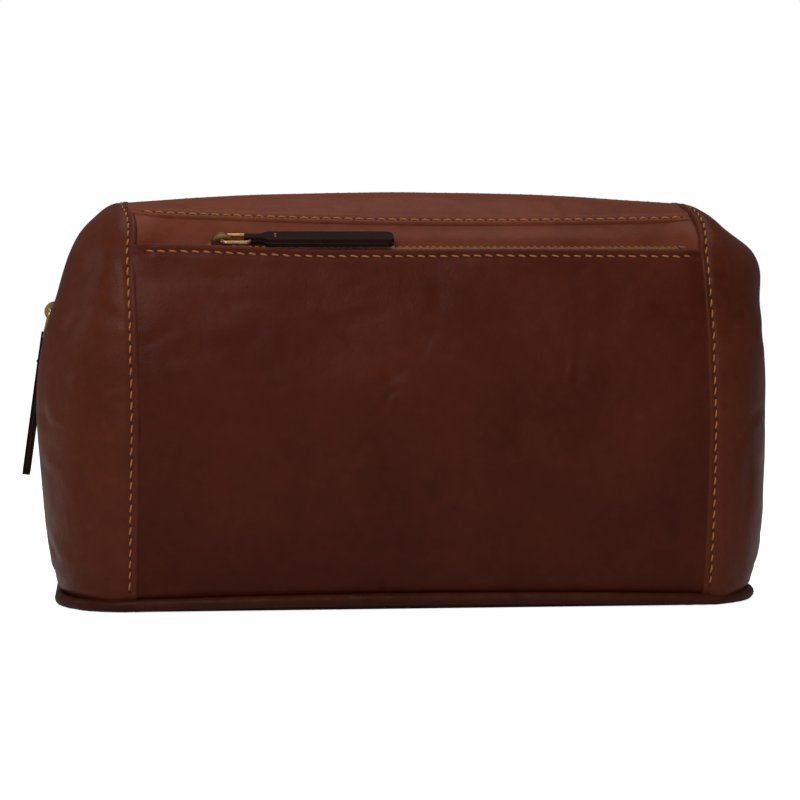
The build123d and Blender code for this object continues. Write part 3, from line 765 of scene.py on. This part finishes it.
MAIN_SLIDER = (-128.555, 107.0)  # place of the main slider, as (x, z)
SLIDER_AT = (MAIN_SLIDER[1] - ZIP_FOOT) / math.cos(LEAN)
TOOTH = [(-0.62, 3.1), (0.62, 3.1), (0.62, 1.0), (0.5, 0.1), (0.64, -0.45), (0.4, -0.95), (-0.4, -0.95),
         (-0.64, -0.45), (-0.5, 0.1), (-0.62, 1.0)]
for sign, row in ((-1, "front"), (1, "back")):
    ds = np.linspace(0.4, zip_path.length - 0.4, 340)
    p, q, n = zip_frame(ds)
    across = [(1.15, 0.1), (1.5, 0.45), (2.4, 0.3), (4.6, 0.25), (5.6, -0.5), (7.4, -1.2), (9.6, -1.5)]
    g = np.zeros((len(ds), len(across), 3))
    for j, (y, out) in enumerate(across):
        g[:, j, 0] = p[:, 0] + n[:, 0] * out
        g[:, j, 1] = sign * y
        g[:, j, 2] = p[:, 1] + n[:, 1] * out
    stands = [f"main_tape_{row}", "left_zip_end_tape", "right_zip_end_tape"]
    skin(f"zip_tape_{row}", g, "zip_tape", (row,), thick=0.6, replaces=stands, round_edge=0)
    tv, tf = [], []
    first = SLIDER_AT - 1.0
    count = int((zip_path.length - 4.5 - first) / ZIP_PITCH)
    for i in range(count):
        d = first + (i + (0.5 if sign < 0 else 0.0)) * ZIP_PITCH
        p, q, n = zip_frame(d)
        base = len(tv)
        for out, shrink in ((-1.05, 0.85), (0.75, 1.0), (1.1, 0.72)):
            for a, y in TOOTH:
                y = y if shrink == 1.0 or y < 0 else y * (0.96 if shrink > 0.8 else 0.93)
                x, z = p + q * a * shrink + n * out
                tv.append([x, sign * y, z])
        m = len(TOOTH)
        for layer in range(2):
            for k in range(m):
                k2 = (k + 1) % m
                low, high = base + layer * m, base + (layer + 1) * m
                tf.append([low + k, low + k2, high + k2, high + k])
        tf.append([base + k for k in range(m)][::-1])
        tf.append([base + 2 * m + k for k in range(m)])
    stands = [f"main_teeth_{row}", "left_zip_end_teeth", "right_zip_end_teeth"]
    build(f"zip_teeth_{row}", tv, tf, "zip_teeth", (row,), stands, smooth=False)

# Stops at the two feet of the zip
BOX = ((0, 1, 3, 2), (4, 6, 7, 5), (0, 4, 5, 1), (2, 3, 7, 6), (0, 2, 6, 4), (1, 5, 7, 3))
sv, sf = [], []
for distance in (2.6, zip_path.length - 2.6):
    p, q, n = zip_frame(distance)
    for sign in (-1, 1):
        base = len(sv)
        for a in (-1.1, 1.1):
            for y in (0.35, 2.7):
                for out in (-0.9, 1.15):
                    x, z = p + q * a + n * out
                    sv.append([x, sign * y, z])
        sf += [[base + k for k in f] for f in BOX]
build("zip_stops", sv, sf, "zip_hardware", "base", ["main_zip_stops"], smooth=False)

# ---- the pocket's zip tapes
TILT = math.radians(17)
POCKET_ZIP = Vector((0, -45.0, 130.5))
POCKET_SLIDER_X = -70
POCKET = Matrix.Translation(POCKET_ZIP) @ Matrix.Rotation(TILT, 4, "X")
for sign, row in ((-1, "lower"), (1, "upper")):
    across = [(1.2, 0.05), (1.5, 0.4), (2.3, 0.3), (4.5, 0.2), (6.2, 0.0)]
    across.append((8.2, 0.5) if row == "upper" else (7.2, -0.6))
    xs = np.linspace(-99.5, 102.5, 90)
    g = np.zeros((len(xs), len(across), 3))
    for j, (y, out) in enumerate(across):
        p = POCKET @ Vector((0, sign * y, out))
        g[:, j] = np.stack([xs, np.full(len(xs), p.y), np.full(len(xs), p.z)], -1)
    skin(f"pocket_zip_tape_{row}", g, "zip_tape", ("front",), thick=0.55,
         replaces=[f"pocket_tape_{row}"], round_edge=0)

# ---- metal and pulls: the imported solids, with broken edges
for name, o in frame["nodes"].items():
    if o.hide_render:
        continue
    slot_name = next(s["material_slot"] for s in frame["record"]["subparts"] if s["node"] == name)
    o.data.materials.clear()
    o.data.materials.append(MATERIALS[slot_name])
    width = {"main_puller": 0.55, "pocket_puller": 0.55, "main_slider": 0.25, "pocket_slider": 0.25}.get(name)
    if width:
        bevel = o.modifiers.new("edge", "BEVEL")
        bevel.width = width * MM
        bevel.segments = 3
        bevel.limit_method = "ANGLE"
        bevel.angle_limit = math.radians(35)
    if name.endswith(("ring", "slider", "puller")):
        for poly in o.data.polygons:
            poly.use_smooth = True
        o.data.set_sharp_from_angle(angle=math.radians(38))

# Where the pulls lie: each runs along -x from its ring's far bar, and the main one hangs a little inwards
EYE_Z = 4.6
RING_LONG = 10.2
PULL_THICK = 2.8
c, s = math.cos(LEAN), math.sin(LEAN)
MAIN = Matrix(((s, 0, -c, MAIN_SLIDER[0]), (0, 1, 0, 0), (c, 0, s, MAIN_SLIDER[1]), (0, 0, 0, 1)))
BAR = Matrix.Translation((-RING_LONG, 0, EYE_Z))
HANG = BAR @ Matrix.Rotation(math.radians(-5), 4, "Y") @ BAR.inverted()
TURNED = Matrix.Translation((POCKET_SLIDER_X, 0, 0)) @ Matrix.Rotation(math.pi, 4, "Z")
PULLS = {"main_puller": MAIN @ HANG, "pocket_puller": POCKET @ TURNED}
for body, place in PULLS.items():
    turn = place.to_3x3()
    for face, up in (("top", 1), ("under", -1)):
        out = np.array(turn @ Vector((0, 0, up)))
        level = EYE_Z + up * PULL_THICK / 2
        line = [np.array(place @ Vector((-19.5, y, level))) for y in np.linspace(-3.7, 3.7, 12)]
        stitches(f"{body}_{face}_row", line, [out] * 12, body, pitch=2.6, long=2.0, radius=0.36,
                 slant=0.0, raise_by=0.12)
    # the join between the two layers of the pull
    half, head, neck, tip = 5.27, -8.3, -14.4, -62.72
    outline = [(head, 2.52), (neck, 2.52), (neck - 2.5, half)]
    outline += [(tip + 3, half), (tip + 0.9, half - 0.9), (tip, half - 3)]
    outline += [(x, -y) for x, y in outline[::-1]]
    dense = []
    for a, b in zip(outline[:-1], outline[1:]):
        for t in np.linspace(0, 1, 10)[:-1]:
            dense.append(place @ Vector((a[0] + (b[0] - a[0]) * t, a[1] + (b[1] - a[1]) * t, EYE_Z)))
    v, f = tube([tuple(p) for p in dense], 0.16, 6)
    build(f"{body}_join", v, f, None, body, material=HOLE)

# ---- floor, light and camera
floor_mesh = bpy.data.meshes.new("floor")
floor_mesh.from_pydata([(-3, -3, 0), (3, -3, 0), (3, 3, 0), (-3, 3, 0)], [], [(0, 1, 2, 3)])
floor = bpy.data.objects.new("floor", floor_mesh)
bpy.context.scene.collection.objects.link(floor)
floor.location.z = -0.0002
floor_mesh.materials.append(plain("pale_floor", (0.9, 0.9, 0.9), 0.75, scale=3, mottle=0.01, bump=0.0))


def for_the_eye(tree, shader, target, strength):
    """White light that only the camera sees: the backdrop is white and the leather isn't washed out."""
    n, link = tree.nodes, tree.links.new
    glow = n.new("ShaderNodeEmission" if target.name.startswith("Material") else "ShaderNodeBackground")
    glow.inputs["Color"].default_value = (1, 1, 1, 1)
    glow.inputs["Strength"].default_value = strength
    seen = n.new("ShaderNodeLightPath")
    mix = n.new("ShaderNodeMixShader")
    link(seen.outputs["Is Camera Ray"], mix.inputs["Fac"])
    link(shader, mix.inputs[1])
    if target.name.startswith("Material"):
        both = n.new("ShaderNodeAddShader")
        link(shader, both.inputs[0])
        link(glow.outputs[0], both.inputs[1])
        link(both.outputs[0], mix.inputs[2])
    else:
        link(glow.outputs[0], mix.inputs[2])
    link(mix.outputs[0], target.inputs["Surface"])


tree = floor_mesh.materials[0].node_tree
for_the_eye(tree, tree.nodes["Principled BSDF"].outputs[0], tree.nodes["Material Output"], 0.85)
world = bpy.data.worlds.new("studio")
bpy.context.scene.world = world
world.use_nodes = True
back = world.node_tree.nodes["Background"]
back.inputs["Color"].default_value = (1, 1, 1, 1)
back.inputs["Strength"].default_value = 0.17
for_the_eye(world.node_tree, back.outputs[0], world.node_tree.nodes["World Output"], 1.0)


def lamp(name, place, aim, size, power):
    data = bpy.data.lights.new(name, "AREA")
    data.shape = "RECTANGLE"
    data.size, data.size_y = size
    data.energy = power
    o = bpy.data.objects.new(name, data)
    bpy.context.scene.collection.objects.link(o)
    o.location = place
    o.rotation_mode = "QUATERNION"
    o.rotation_quaternion = (Vector(aim) - Vector(place)).to_track_quat("-Z", "Y")
    return o


lamp("key", (-0.5, -1.1, 1.0), (0, 0, 0.08), (0.7, 0.6), 12.0)
lamp("top", (0.1, 0.1, 1.1), (0, 0, 0.1), (1.0, 0.7), 4.5)
lamp("low_front", (0.3, -1.2, 0.25), (0, 0, 0.05), (0.9, 0.4), 0.6)
lamp("side_left", (-1.0, 0.1, 0.5), (-0.1, 0, 0.08), (0.3, 0.6), 1.2)

camera_data = bpy.data.cameras.new("camera")
camera_data.sensor_width = 36.0
camera_data.lens = 124.3
camera_data.clip_start, camera_data.clip_end = 0.05, 20
camera = bpy.data.objects.new("camera", camera_data)
bpy.context.scene.collection.objects.link(camera)
camera.location = (-0.1049, -1.053, 0.1314)
camera.rotation_mode = "QUATERNION"
camera.rotation_quaternion = (Vector((-0.0059, -0.057, 0.0766)) - camera.location).to_track_quat("-Z", "Y")
bpy.context.scene.camera = camera
bpy.context.scene.view_settings.view_transform = "Standard"
